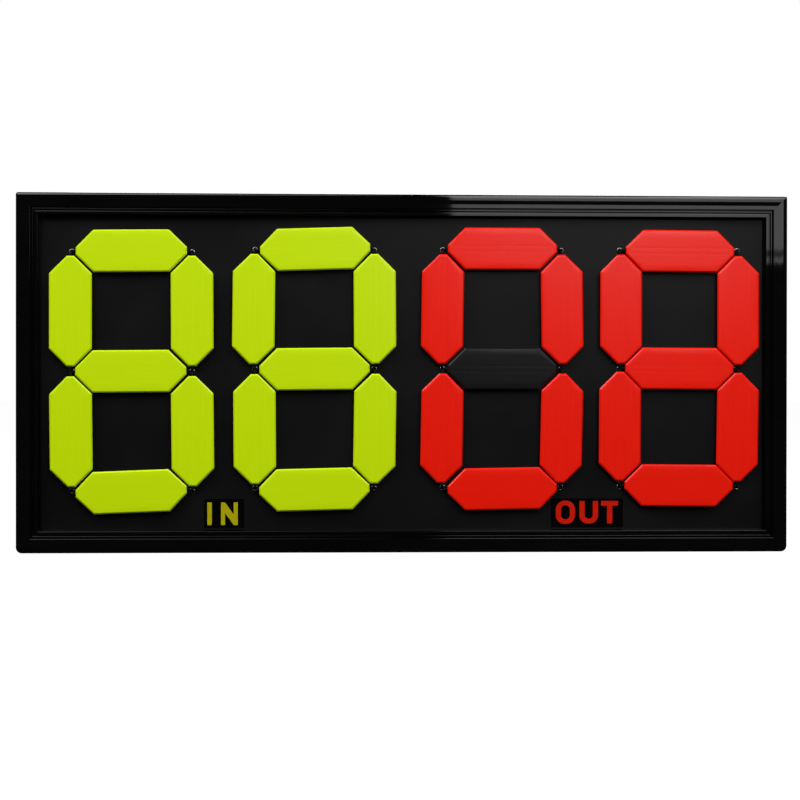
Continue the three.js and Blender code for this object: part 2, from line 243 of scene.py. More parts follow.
def arc(centre: Sequence, radii: Sequence, turn: Pair, steps: int) -> Array:
    """Points on a stretch of an ellipse: centre + (radius_u cos a, radius_v sin a).

    Args:
        centre: middle of the ellipse.
        radii: its two half widths.
        turn: first and last angle in degrees.
        steps: number of stretches.

    Returns:
        (steps + 1, 2) points.
    """
    angle = np.radians(np.linspace(*turn, steps + 1))
    return np.array(centre) + np.stack([np.cos(angle), np.sin(angle)], axis=1) * np.array(radii)


def rounded(corners: Sequence, radius: float, steps: int) -> Array:
    """A polygon whose corners are arcs.

    Each arc's centre lies on its corner's bisector, radius / sin(half angle) away, and its points
    mix the two directions to the tangent points by the sine rule.

    Args:
        corners: (n, 2) corners in order.
        radius: radius of every arc.
        steps: stretches in each arc.

    Returns:
        (n * (steps + 1), 2) points.
    """
    corners = np.array(corners, float)
    before, after = (unit(np.roll(corners, shift, axis=0) - corners) for shift in (1, -1))
    half = np.arccos(np.clip((before * after).sum(axis=1, keepdims=True), -1, 1)) / 2
    centre = corners + unit(before + after) * radius / np.sin(half)
    start, end = (corners + side * radius / np.tan(half) - centre for side in (before, after))
    turn = (np.pi - 2 * half)[:, None]
    share = np.linspace(0, 1, steps + 1)[None, :, None]
    mix = np.sin((1 - share) * turn) * start[:, None] + np.sin(share * turn) * end[:, None]
    return (centre[:, None] + mix / np.sin(turn)).reshape(-1, 2)


def rectangle(size: Sequence) -> Array:
    """The four corners of a rectangle of a width and a height round the origin."""
    return np.array(size) / 2 * np.array([[-1, -1], [1, -1], [1, 1], [-1, 1]])


def circle(centre: Sequence, radius: float, steps: int) -> Array:
    """Points of a circle round a centre."""
    return arc(centre, (radius, radius), (0, 360), steps)[:-1]


def filled(loops: list[Array]) -> Array:
    """Fills the area between nested outlines with triangles.

    A triangle is kept when a ray to the right from its middle crosses the outlines an odd number
    of times, so outlines inside others are holes.

    Args:
        loops: outlines of (n, 2) points.

    Returns:
        (n, 3) numbers of the outlines' points, counted through all loops in order.
    """
    points = np.concatenate(loops)
    edges = []
    for loop in loops:
        numbers = np.arange(len(loop)) + len(edges)
        edges += np.stack([numbers, np.roll(numbers, -1)], axis=1).tolist()
    made = delaunay_2d_cdt([Vector(p) for p in points.tolist()], edges, [], 0, TOUCH)
    source = np.array([names[0] for names in made[3]])
    triangles = source[np.array(made[2])]
    middle = points[triangles].mean(axis=1)[:, None]
    first, last = np.moveaxis(points[np.array(edges)], 1, 0)
    spans = (first[:, 1] > middle[..., 1]) != (last[:, 1] > middle[..., 1])
    rise = np.where(first[:, 1] == last[:, 1], 1, last[:, 1] - first[:, 1])
    meets = first[:, 0] + (middle[..., 1] - first[:, 1]) / rise * (last[:, 0] - first[:, 0])
    return triangles[(spans & (meets > middle[..., 0])).sum(axis=1) % 2 == 1]


def plate(outlines: list[Outline]) -> Surface:
    """A plate parallel to the board, with holes and stepped or rounded edges.

    Each outline is carried through the plate as rings, each ring at its own depth. The first and
    last rings bound the front and back faces.

    Args:
        outlines: for each outline its rings from front to back, as (points, depth), with as many
            points in every ring of an outline.

    Returns:
        The closed surface.
    """
    points, faces, first, last = [], [], [], []
    start = 0
    for rings in outlines:
        size = len(rings[0][0])
        for ring, depth in rings:
            points.append(np.stack([ring[:, 0], np.full(size, depth), ring[:, 1]], axis=1))
        faces += (grid_faces(len(rings), size) + start).tolist()
        first.append(np.arange(size) + start)
        start += size * len(rings)
        last.append(np.arange(size) + start - size)
    front, back = (np.concatenate(numbers) for numbers in (first, last))
    faces += front[filled([rings[0][0] for rings in outlines])][:, ::-1].tolist()
    faces += back[filled([rings[-1][0] for rings in outlines])].tolist()
    return Surface(np.concatenate(points), faces)


def chamfered(edge: float, front: float, back: float) -> tuple[Pair, ...]:
    """Inset and depth of a plate's rings, drawn in by `edge` at its front and its back."""
    return (edge, front), (0.0, front + edge), (0.0, back - edge), (edge, back)


def smooth_lower(first: Array, second: Array, blend: float) -> Array:
    """The lower of two values, with the kink between them rounded over about `blend`.

    The value is -blend * log(exp(-first / blend) + exp(-second / blend)).
    """
    low, gap = np.minimum(first, second), np.abs(first - second)
    return low - blend * np.log1p(np.exp(-gap / blend))


def make_piece(
    name: str,
    surface: Surface,
    finishes: list[Material],
    body: str = "root",
    replaces: tuple[str, ...] = (),
    sharp: float = 32.0,
) -> None:
    """Puts a surface into the scene as a closed mesh that rides on a CAD body.

    Args:
        name: the piece's name.
        surface: its points in millimetres, in the frame's own axes.
        finishes: its materials, in the order that the faces' numbers follow.
        body: the CAD body that carries it.
        replaces: the CAD nodes that it stands for.
        sharp: edges that turn by more degrees than this stay crisp.
    """
    mesh = bpy.data.meshes.new(name)
    faces = [tuple(map(int, face)) for face in surface.faces]
    mesh.from_pydata((surface.points * MM).tolist(), [], faces)
    for finish in finishes:
        mesh.materials.append(finish)
    if surface.finishes is not None:
        mesh.polygons.foreach_set("material_index", surface.finishes.astype(np.int32))
    if surface.grain is not None:
        corners = np.zeros(len(mesh.loops), np.int32)
        mesh.loops.foreach_get("vertex_index", corners)
        grain = surface.grain[corners].astype(np.float32)
        mesh.uv_layers.new(name="grain").data.foreach_set("uv", grain.ravel())
    shell = bmesh.new()
    shell.from_mesh(mesh)
    bmesh.ops.remove_doubles(shell, verts=shell.verts, dist=MERGE)
    bmesh.ops.dissolve_degenerate(shell, edges=shell.edges, dist=MERGE / 10)
    bmesh.ops.recalc_face_normals(shell, faces=shell.faces)
    open_edges = sum(not edge.is_manifold for edge in shell.edges)
    shell.to_mesh(mesh)
    shell.free()
    mesh.shade_smooth()
    mesh.set_sharp_from_angle(angle=math.radians(sharp))
    piece = bpy.data.objects.new(name, mesh)
    bpy.context.scene.collection.objects.link(piece)
    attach(piece, body)
    if replaces:
        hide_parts(*replaces)
    log.info("%s: %d faces, %d open edges", name, len(mesh.polygons), open_edges)


def add_node(
    tree: Tree, kind: str, inputs: dict | None = None, **settings: object
) -> bpy.types.Node:
    """Adds a shader node with its settings and links.

    Args:
        tree: the material's node tree.
        kind: the node's type, without its ShaderNode prefix.
        inputs: value or other node's output for each input, by name or number.
        settings: the node's properties.

    Returns:
        The node.
    """
    node = tree.nodes.new("ShaderNode" + kind)
    for name, value in settings.items():
        setattr(node, name, value)
    wire(tree, node, inputs or {})
    return node


def wire(tree: Tree, node: bpy.types.Node, inputs: dict) -> None:
    """Links each input of a node to an output, or sets it to a value."""
    for key, value in inputs.items():
        if isinstance(value, Socket):
            tree.links.new(value, node.inputs[key])
        else:
            node.inputs[key].default_value = value


@dataclass(frozen=True)
class Grain:
    """A noise pattern.

    wide is the width of its features in millimetres along each axis, height how far its relief
    rises in millimetres, and source what it is laid on: the object, or the piece's own UV map.
    With cells it is made of rounded cells, 0 in their middles.
    """

    wide: Triple
    detail: float = 2.0
    height: float = 0.0
    source: str = "Object"
    cells: bool = False

    def value(self, tree: Tree) -> Socket:
        """Adds the pattern to a material's tree."""
        place = add_node(tree, "TexCoord").outputs[self.source]
        scale = tuple(1 / (MM * side) for side in self.wide)
        place = add_node(tree, "Mapping", {"Vector": place, "Scale": scale}).outputs[0]
        inputs = {"Vector": place, "Scale": 1.0}
        if self.cells:
            return add_node(tree, "TexVoronoi", inputs, feature="SMOOTH_F1").outputs[0]
        return add_node(tree, "TexNoise", {**inputs, "Detail": self.detail}).outputs[0]


def carried(tree: Tree, value: Socket, old: Pair, new: Pair = WHOLE) -> Socket:
    """A value carried from an old range to a new one."""
    return add_node(tree, "MapRange", dict(enumerate((value, *old, *new)))).outputs[0]


@dataclass(frozen=True)
class Finish:
    """A material built from nodes.

    dark and light are the sRGB colours, and rough the roughnesses, that it varies between by its
    tone, and relief holds the patterns that raise its face.
    """

    dark: str
    light: str
    rough: Pair
    specular: float = 0.5
    metallic: float = 0.0
    tone: Grain | None = None
    relief: tuple[Grain, ...] = ()

    def vary(self, tree: Tree) -> tuple[Socket, Layers]:
        """Draws the finish's patterns.

        Args:
            tree: the material's node tree.

        Returns:
            How far the finish lies from dark to light, from 0 to 1, and its relief layers, each a
            height pattern and its real height in millimetres.
        """
        share = carried(tree, self.tone.value(tree), NOISE_SHARES)
        return share, [(grain.value(tree), grain.height) for grain in self.relief]

    def material(self, name: str) -> Material:
        """Builds the material and wires its patterns to the shader."""
        made = bpy.data.materials.new(name)
        made.use_nodes = True
        tree = made.node_tree
        share, layers = self.vary(tree)
        ends = {6: linear(self.dark), 7: linear(self.light)}
        tint = add_node(tree, "Mix", {0: share, **ends}, data_type="RGBA").outputs[2]
        rough = self.rough[0]
        if rough != self.rough[1]:
            rough = carried(tree, share, WHOLE, self.rough)
        normal = {}
        for height, rise in layers:
            inputs = {"Height": height, "Distance": rise * MM, "Strength": 1.0, **normal}
            normal = {"Normal": add_node(tree, "Bump", inputs).outputs[0]}
        sockets = {"Base Color": tint, "Roughness": rough, "Metallic": self.metallic, **normal}
        sockets["Specular IOR Level"] = self.specular
        wire(tree, tree.nodes["Principled BSDF"], sockets)
        log.info("%s: roughness %.3g to %.3g", name, *self.rough)
        return made


@dataclass(frozen=True)
class GlossPolystyrene(Finish):
    """Picture-frame moulding: extruded polystyrene under gloss black lacquer.

    Extrusion gives long shallow waves that bend the reflections, and the lacquer a fine orange
    peel. The gloss dulls a little in smears.
    """

    dark: str = "020202"
    light: str = "050505"
    rough: Pair = (0.02, 0.05)
    tone: Grain = Grain(wide=(90.0, 90.0, 30.0), detail=4.0)
    relief: tuple[Grain, ...] = (
        Grain(wide=(38.0,) * 3, height=0.035),
        Grain(wide=(3.5,) * 3, height=0.0025),
    )


@dataclass(frozen=True)
class SatinAbsSheet(Finish):
    """Panel: calendered ABS sheet, satin black, with broad cloudy gloss over a fine even grain.

    The grain is drawn 1.6 mm wide, coarser than the real one, which would not show.
    """

    dark: str = "09090A"
    light: str = "0C0C0D"
    rough: Pair = (0.33, 0.4)
    specular: float = 0.16
    tone: Grain = Grain(wide=(70.0,) * 3, detail=3.0)
    relief: tuple[Grain, ...] = (Grain(wide=(1.6,) * 3, detail=3.0, height=0.02),)


@dataclass(frozen=True)
class FlapPolypropylene(Finish):
    """Flap: injection-moulded polypropylene in a strong colour, under a soft sheen.

    Flow lines run along it, about 2.6 mm wide and 60 mm long, as a slight change of shade.
    """

    rough: Pair = (0.258, 0.27)
    specular: float = 0.38
    tone: Grain = Grain(wide=(60.0, 2.6, 1.0), detail=3.0, source="UV")
    relief: tuple[Grain, ...] = (Grain(wide=(1.4,) * 3, height=0.006),)


@dataclass(frozen=True)
class HaircellAbs(Finish):
    """Back cover: matt black ABS with a pebbled haircell grain and a few dull scuffs."""

    dark: str = "151516"
    light: str = "1F1F20"
    rough: Pair = (0.58, 0.74)
    tone: Grain = Grain(wide=(60.0, 60.0, 25.0), detail=6.0)
    relief: tuple[Grain, ...] = (Grain(wide=(1.3,) * 3, height=-0.09, cells=True),)


@dataclass(frozen=True)
class PlatedMetal(Finish):
    """Plated small parts: nickel on brass eyelets, zinc on steel screws and corner keys.

    Barrel plating leaves a slightly cloudy gloss with fine scratches.
    """

    metallic: float = 1.0
    tone: Grain = Grain(wide=(2.2,) * 3, detail=4.0)
    relief: tuple[Grain, ...] = (Grain(wide=(0.25, 0.25, 2.0), height=0.004),)


@dataclass(frozen=True)
class CalenderedVinyl(Finish):
    """Labels and letters: cut self-adhesive vinyl film, nearly matt, faintly rippled."""

    rough: Pair = (0.45, 0.55)
    specular: float = 0.08
    tone: Grain = Grain(wide=(5.0,) * 3)
    relief: tuple[Grain, ...] = (Grain(wide=(5.0,) * 3, height=0.01),)


@dataclass(frozen=True)
class BraidedElastic(Finish):
    """Cord: latex core under a braided black polyester sleeve.

    Two sets of threads cross on the UV map, whose U runs round the cord in turns and whose V runs
    along it in metres. The threads are 0.6 mm wide, as wide as they need to show.
    """

    dark: str = "010101"
    light: str = "060606"
    rough: Pair = (0.9, 0.9)
    specular: float = 0.2
    threads: float = 8.0
    thread_pitch: float = 1.6
    thread_height: float = 0.12

    def vary(self, tree: Tree) -> tuple[Socket, Layers]:
        """Crossing diagonal waves: the higher of two sine waves is the thread on top."""

        def result(operation: str, *values: Socket | float) -> Socket:
            """The result of a sum on one or two values."""
            return add_node(tree, "Math", dict(enumerate(values)), operation=operation).outputs[0]

        place = add_node(tree, "TexCoord").outputs["UV"]
        across, along = add_node(tree, "SeparateXYZ", {0: place}).outputs[:2]
        across = result("MULTIPLY", across, 2 * math.pi * self.threads)
        along = result("MULTIPLY", along, 2 * math.pi / (self.thread_pitch * MM))
        waves = (result("SINE", result(way, across, along)) for way in ("ADD", "SUBTRACT"))
        share = carried(tree, result("MAXIMUM", *waves), (-1.0, 1.0))
        return share, [(share, self.thread_height)]


@dataclass(frozen=True)
class Board:
    """The board's own axes: the middle of its outline and the front face of its panel.

    centre is (x, z) and face the panel's y, with width and height over the moulding, all in
    millimetres and all read from the CAD frame.
    """

    centre: Array
    face: float
    width: float
    height: float

    @classmethod
    def from_frame(cls) -> Self:
        """Reads the outline from the CAD box, and the panel's face from the back of a label."""
        box = Box.between(*cad_box)
        return cls(box.middle, Box.of("in_label").back, *box.size)

    def place(self, points: Array) -> Array:
        """Moves points from the board's axes to the frame's."""
        return points + at_depth(self.centre, self.face)


@dataclass(frozen=True)
class Hinge:
    """Where a flap hangs: its middle and the unit vectors along it and across it."""

    body: str
    middle: Array
    along: Array
    across: Array

    @classmethod
    def of(cls, body: str) -> Self:
        """Reads the hinge of a flap's body.

        Args:
            body: the body.

        Returns:
            The hinge; across = along x back, so it points up on a level flap.
        """
        joint = next(j for j in frame["joints"] if j["child"] == body)
        along = np.array(joint["axis"], float)
        return cls(body, np.array(joint["pos_m"]) / MM, along, np.cross(along, BACKWARDS))

    def place(self, points: Array) -> Array:
        """Moves points from (along, back, across) to the frame's axes."""
        return self.middle + points @ np.stack([self.along, BACKWARDS, self.across])


@dataclass(frozen=True)
class Digit:
    """One seven-segment digit: its middle (x, z), its cord holes' spacing and its hinges."""

    name: str
    ink: Ink
    middle: Array
    pitch: float
    hinges: tuple[Hinge, ...]

    @classmethod
    def from_frame(cls, name: str, ink: Ink, order: int) -> Self:
        """Finds a digit between the two posts behind it.

        Args:
            name: the digit's name.
            ink: its colour.
            order: its place from the left, from 0.

        Returns:
            The digit; its posts stand half a spacing above and below its middle.
        """
        posts = [Box.of(f"panel_post_{2 * order + number}").middle for number in (1, 2)]
        hinges = tuple(Hinge.of(f"{name}_{stroke.value}") for stroke in Stroke)
        return cls(name, ink, sum(posts) / 2, abs(posts[0] - posts[1])[1], hinges)

    @property
    def holes(self) -> Array:
        """The six cord holes, (6, 2): two columns half a spacing out, and three rows."""
        shares = np.array([(column, row) for row in (1, 0, -1) for column in (-0.5, 0.5)])
        return self.middle + self.pitch * shares


@dataclass(frozen=True)
class Flap:
    """A flat octagonal flap with bevelled edges, bored lengthways for its cord.

    Both faces carry two faint sink lines over the walls of the bore, and the edge has a fine
    parting line where the coloured half meets the black one. The steps and shares set where the
    mesh has its lines: in from the ends, out from the start of the cut corners, between the middle
    and there, in from the outline, between that and a sink line, and to both sides of a sink line.
    """

    length: float = 103.0
    width: float = 39.5
    thickness: float = 5.5
    end: float = 6.7
    bevel_run: float = 1.25
    bevel_drop: float = 1.25
    shoulder_share: float = 0.06
    bore: float = 3.0
    lead: float = 0.25
    sink_line: float = 2.6
    sink_width: float = 0.55
    sink_depth: float = 0.025
    sink_fade_share: float = 0.75
    sink_room_share: float = 0.8
    parting: float = 0.12
    parting_width: float = 0.6
    soft: float = 0.16
    sharp: float = 24.0
    end_steps: tuple[float, ...] = (0.0, 0.15, 0.5, 0.9, 1.25, 1.7, 2.6, 6.0, 11.0)
    corner_steps: tuple[float, ...] = (1.6, 0.9, 0.5, 0.2, -0.1, -0.5, -1.1)
    middle_shares: tuple[float, ...] = (1 / 2, 1 / 6)
    edge_steps: tuple[float, ...] = (0.0, 0.15, 0.55, 0.95, 1.25, 1.6)
    face_shares: tuple[float, ...] = (0.6, 0.2)
    sink_steps: tuple[float, ...] = (1.6, 0.7, 0.35, 0.0, -0.35, -0.7, -1.6)

    @property
    def slant(self) -> float:
        """How far from the middle the lines of the cut corners cross the axes."""
        return (self.length + self.end) / 2

    def inside(self, along: Array, across: Array) -> Array:
        """Distance in from the outline: the least of the distances to side, cut corner and end."""
        slant = (self.slant - np.abs(along) - np.abs(across)) / math.sqrt(2)
        side = self.width / 2 - np.abs(across)
        end = self.length / 2 - np.abs(along)
        return np.minimum(smooth_lower(side, slant, self.soft), end)

    def half_width(self, along: Array, depth: Array) -> Array:
        """How far out the line lies that stays `depth` inside the outline."""
        slant = self.slant - np.abs(along) - depth * math.sqrt(2)
        return smooth_lower(self.width / 2 - depth, slant, self.soft * 2)

    def drop(self, inside: Array) -> Array:
        """How far the bevel lies below the face: a ramp over its run, with soft shoulders."""
        ramp = (1 - np.maximum(inside, 0) / self.bevel_run) / self.shoulder_share
        return self.bevel_drop * self.shoulder_share * np.logaddexp(ramp, 0)

    def stations(self) -> Array:
        """Places along the flap, closer together at its ends and at the start of its cut corners."""
        corner = self.slant - self.width / 2
        ends = self.length / 2 - np.array(self.end_steps)
        bends = corner + np.array(self.corner_steps)
        right = np.sort(np.concatenate([ends, bends, corner * np.array(self.middle_shares)]))
        return np.concatenate([-right[::-1], right])

    def face(self, along: Array) -> tuple[Array, Array]:
        """One face as a height over the outline.

        Args:
            along: (n, 1) places along the flap.

        Returns:
            Places across and heights above the middle plane, both (n, points across).
        """
        edge = self.half_width(along, np.array(self.edge_steps))
        inner = edge[:, -1:]
        lines = self.sink_line + np.array(self.sink_steps)
        fit = np.minimum(1, self.sink_room_share * inner / lines[0])
        outer = lines[0] * fit
        between = outer + (inner - outer) * np.array(self.face_shares)
        half = np.concatenate([edge, between, lines * fit], axis=1)
        across = np.concatenate([half, 0 * inner, -half[:, ::-1]], axis=1)
        fade = np.clip((fit - self.sink_fade_share) / (1 - self.sink_fade_share), 0, 1)
        away = (np.abs(across) - self.sink_line) / self.sink_width
        sink = self.sink_depth * fade * np.exp(-(away**2))
        return across, self.thickness / 2 - self.drop(self.inside(along, across)) - sink

    def surface(self) -> Surface:
        """The whole flap as one grid that closes both ways.

        Each ring goes round the flap: across its front face, over one edge, back across the other
        face and over the other edge. After the last ring the grid turns in at the end face, runs
        back through the round bore and comes out at the first ring.

        Returns:
            The surface about the hinge line, in (along, back, across).
        """
        along = self.stations()[:, None]
        across, height = self.face(along)
        rim = across[:, :1]
        wall = self.parting_width / 2 * np.array([-1, 0, 1])
        notch = self.parting * np.array([0, 1, 0])
        ring_across = np.concatenate([across, notch - rim, -across, rim - notch], axis=1)
        ring_back = np.concatenate([-height, wall + 0 * rim, height, -wall + 0 * rim], axis=1)
        outer = np.stack([along + 0 * ring_across, ring_back, ring_across], axis=-1)
        turn = np.arctan2(ring_back[-1], ring_across[-1])
        end, lead_end = self.length / 2, self.length / 2 - self.lead
        inner_at = np.array([[end, lead_end, end / 2, -end / 2, -lead_end, -end]]).T
        radius = self.bore / 2 + self.lead * (np.abs(inner_at) == end)
        bore = [inner_at + 0 * turn, radius * np.sin(turn), radius * np.cos(turn)]
        grid = np.concatenate([outer, np.stack(bore, axis=-1)])
        made = gridded(grid, True, grid[..., PLAN] * MM)
        row, column = np.divmod(made.faces[:, 0], grid.shape[1])
        front = across.shape[1]
        black = (column > front) & (column < 2 * front + len(wall) + 1) | (row >= len(outer))
        made.finishes = black.astype(int)
        return made


@dataclass(frozen=True)
class Eyelet:
    """A rolled metal eyelet that lines a cord hole; its barrel laps a little into both rims."""

    flange: float = 5.4
    bore: float = 3.2
    wall: float = 0.25
    rise: float = 0.7
    roll: float = 4.9
    roll_rise: float = 0.4
    panel: float = 2.5
    lap: float = 0.02
    crown_steps: int = 12
    roll_steps: int = 8
    columns: int = 40

    def surface(self) -> Surface:
        """A closed section turned round the hole: domed flange, barrel, and rolled back edge."""
        outer, inner, roll = (size / 2 for size in (self.flange, self.bore, self.roll))
        radii = ((outer - inner) / 2, self.rise)
        crown = arc(((outer + inner) / 2, 0.0), radii, (0, -180), self.crown_steps)
        radii = ((roll - inner) / 2, self.roll_rise)
        back = arc(((roll + inner) / 2, self.panel), radii, (180, 0), self.roll_steps)
        wall = inner + self.wall
        barrel = np.array([[wall, self.panel - self.lap], [wall, -self.lap]])
        return lathe(np.concatenate([crown, back, barrel]), self.columns, True)


@dataclass(frozen=True)
class Cord:
    """One flap's stretch of elastic, from hole to hole through the flap's bore."""

    diameter: float = 2.4
    hole_diameter: float = 1.9
    straight: float = 1.0
    hole_offset: float = 0.5
    depth: float = 3.2
    knot_start: float = 2.9
    knot_diameter: float = 5.4
    lobe_share: float = 0.14
    lobes: int = 3
    columns: int = 16
    knot_columns: int = 24
    steps: int = 12
    straight_steps: int = 8
    below_shares: Pair = (0.5, 1.0)

    def path(
        self, hinge: Hinge, face: float, holes: Array, reach: float
    ) -> tuple[Array, Array]:
        """Centre line and diameters of one stretch.

        Each end rises from its hole and bends over on a quadratic Bezier curve, whose middle point
        stands above the hole at the height of the flap's axis.

        Args:
            hinge: the flap's hinge.
            face: the panel's front face.
            holes: (2, 2) the two holes, in the order of the flap's direction.
            reach: from the flap's middle to where its cord starts to bend.

        Returns:
            (n, 3) points and (n,) diameters.
        """
        t = np.linspace(0, 1, self.steps + 1)[:, None]
        ends = []
        for sign, hole in zip((-1, 1), holes):
            leave = hinge.middle + sign * reach * hinge.along
            foot = at_depth(hole, face) - sign * self.hole_offset * hinge.along
            high = at_depth(foot[PLAN], hinge.middle[1])
            bend = (1 - t) ** 2 * leave + 2 * t * (1 - t) * high + t**2 * foot
            below = foot + self.depth * BACKWARDS * np.array(self.below_shares)[:, None]
            ends.append(np.concatenate([bend, below]))
        inner = np.linspace(-1, 1, self.straight_steps + 1)[1:-1, None]
        points = [ends[0][::-1], hinge.middle + reach * hinge.along * inner, ends[1]]
        narrow = np.concatenate([t[:, 0] ** 2, [1, 1]])
        share = np.concatenate([narrow[::-1], 0 * inner[:, 0], narrow])
        diameters = self.diameter + (self.hole_diameter - self.diameter) * share
        return np.concatenate(points), diameters

    def tube(self, points: Array, diameters: Array) -> Surface:
        """A round tube along the path, closed at both ends by a ring of no width.

        Every ring stands square to the path: u is the panel's sideways direction with its part
        along the path taken out, v = along x u, and a point is centre + r (u cos a + v sin a).
        """
        along = unit(np.gradient(points, axis=0))
        side = unit(np.cross(BACKWARDS, points[-1] - points[0]))
        u = unit(side - along * (along @ side)[:, None])
        frames = np.stack([points, u, np.cross(along, u)])
        points, u, v = np.pad(frames, ((0, 0), (1, 1), (0, 0)), mode="edge")[:, :, None]
        radii = np.pad(diameters / 2, 1)[:, None, None]
        angle = np.linspace(0, 2 * np.pi, self.columns, endpoint=False)[:, None]
        grid = points + radii * (u * np.cos(angle) + v * np.sin(angle))
        steps = np.linalg.norm(np.diff(points[:, 0], axis=0), axis=1)
        run = np.concatenate([[0], np.cumsum(steps)])
        turns, run = np.meshgrid(angle[:, 0] / (2 * np.pi), run * MM)
        return gridded(grid, grain=np.stack([turns, run], axis=-1))

    def knot(self, hole: Array, face: float) -> Surface:
        """A pulled-tight knot behind the panel: a ball whose radius swells in slanted lobes.

        radius = r (1 - lobe + lobe cos(lobes (a + 2 b)) sin b), with a turning round Y and b
        running from pole to pole.
        """
        turn = np.linspace(0, 2 * np.pi, self.knot_columns, endpoint=False)
        lean, angle = np.meshgrid(np.linspace(0, np.pi, self.steps + 1), turn, indexing="ij")
        swell = np.cos(self.lobes * (angle + 2 * lean)) * np.sin(lean)
        radius = self.knot_diameter / 2 * (1 - self.lobe_share + self.lobe_share * swell)
        ball = [np.cos(angle) * np.sin(lean), np.cos(lean), np.sin(angle) * np.sin(lean)]
        grid = np.stack(ball, axis=-1) * radius[..., None]
        grid += at_depth(hole, face + self.knot_start + self.knot_diameter / 2)
        grain = np.stack([angle / (2 * np.pi), lean * self.knot_diameter / 2 * MM], axis=-1)
        return gridded(grid, grain=grain)


@dataclass(frozen=True)
class Digits:
    """The four digits: flaps, cords and eyelets.

    A flap's own two holes lie within near_share of the holes' spacing from its middle, and
    shown_black names the flaps that show their black face.
    """

    board: Board
    flap: Flap = Flap()
    cord: Cord = Cord()
    eyelet: Eyelet = Eyelet()
    near_share: float = 0.6
    shown_black: tuple[str, ...] = ("out_tens_middle",)
    names: tuple[tuple[str, Ink], ...] = (
        ("in_tens", Ink.LIME),
        ("in_units", Ink.LIME),
        ("out_tens", Ink.RED),
        ("out_units", Ink.RED),
    )

    def build(self, inks: dict[Ink, Material], elastic: Material, metal: Material) -> list[Digit]:
        """Builds every digit.

        Args:
            inks: the flaps' materials.
            elastic: the cords' material.
            metal: the eyelets' material.

        Returns:
            The digits, for the panel's holes.
        """
        digits = [Digit.from_frame(*entry, order) for order, entry in enumerate(self.names)]
        flap, eyelet = self.flap.surface(), self.eyelet.surface()
        for digit in digits:
            for hinge in digit.hinges:
                self.hang(flap, hinge, digit.ink, inks)
            self.thread(digit, elastic)
            for number, hole in enumerate(digit.holes, start=1):
                made = Surface(eyelet.points + at_depth(hole, self.board.face), eyelet.faces)
                make_piece(f"{digit.name}_eyelet_{number}", made, [metal])
        return digits

    def hang(self, flap: Surface, hinge: Hinge, ink: Ink, inks: dict[Ink, Material]) -> None:
        """Places one flap on its hinge, with its black face forward where the digit hides it.

        Args:
            flap: the flap's own surface.
            hinge: where it hangs.
            ink: its colour.
            inks: the flaps' materials.
        """
        shown, hidden = ink, Ink.BLACK
        if hinge.body in self.shown_black:
            shown, hidden = hidden, shown
        made = Surface(hinge.place(flap.points), flap.faces, flap.finishes, flap.grain)
        name, nodes = f"{hinge.body}_moulded_flap", (f"{hinge.body}_flap",)
        finishes, sharp = [inks[shown], inks[hidden]], self.flap.sharp
        make_piece(name, made, finishes, hinge.body, nodes, sharp)

    def thread(self, digit: Digit, elastic: Material) -> None:
        """Runs the digit's elastic through its seven flaps and knots it behind each hole."""
        reach = self.flap.length / 2 + self.cord.straight
        strands = []
        for hinge in digit.hinges:
            away = digit.holes - hinge.middle[PLAN]
            order = np.argsort(away @ hinge.along[PLAN])
            near = np.linalg.norm(away[order], axis=1) < self.near_share * digit.pitch
            holes = digit.holes[order[near]]
            strands.append(self.cord.tube(*self.cord.path(hinge, self.board.face, holes, reach)))
        strands += [self.cord.knot(hole, self.board.face) for hole in digit.holes]
        name, node = f"{digit.name}_braided_elastic", f"{digit.name}_cord"
        make_piece(name, joined(strands), [elastic], replaces=(node,))


@dataclass(frozen=True)
class Panel:
    """The front panel, with an aperture behind each flap and a round hole for each eyelet."""

    board: Board
    flap: Flap = Flap()
    thickness: float = 2.5
    hide: float = 0.25
    short: float = 1.1
    corner: float = 0.8
    corner_steps: int = 3
    edge: float = 0.25
    hole: float = 3.8
    hole_steps: int = 28

    def aperture(self, hinge: Hinge, inset: float) -> Array:
        """Outline of the aperture behind a flap, a little inside the flap's own outline."""
        out, half = self.hide + inset, self.flap.length / 2 - self.short - inset
        side = self.flap.width / 2 - out
        slant = self.flap.slant - out * math.sqrt(2)
        quarter = np.array([[half, slant - half], [slant - side, side]])
        back = quarter[::-1]
        corners = np.concatenate([quarter, back * [-1, 1], -quarter, back * [1, -1]])
        axes = np.stack([hinge.along, hinge.across])[:, PLAN]
        return hinge.middle[PLAN] + rounded(corners, self.corner, self.corner_steps) @ axes

    def build(self, digits: list[Digit], material: Material) -> None:
        """Builds the panel.

        Args:
            digits: the four digits.
            material: the panel's finish.
        """
        box, edge = Box.of("front_panel"), self.edge
        steps = chamfered(edge, self.board.face, self.board.face + self.thickness)
        outlines = [[(box.outline(inset), depth) for inset, depth in steps]]
        for digit in digits:
            for hinge in digit.hinges:
                outlines.append([(self.aperture(hinge, edge - inset), y) for inset, y in steps])
            for centre in digit.holes:
                rings = [(self.hole / 2 + inset, depth) for inset, depth in steps]
                outlines.append([(circle(centre, r, self.hole_steps), y) for r, y in rings])
        finish, nodes = [material], ("front_panel",)
        make_piece("satin_front_panel", plate(outlines), finish, replaces=nodes)


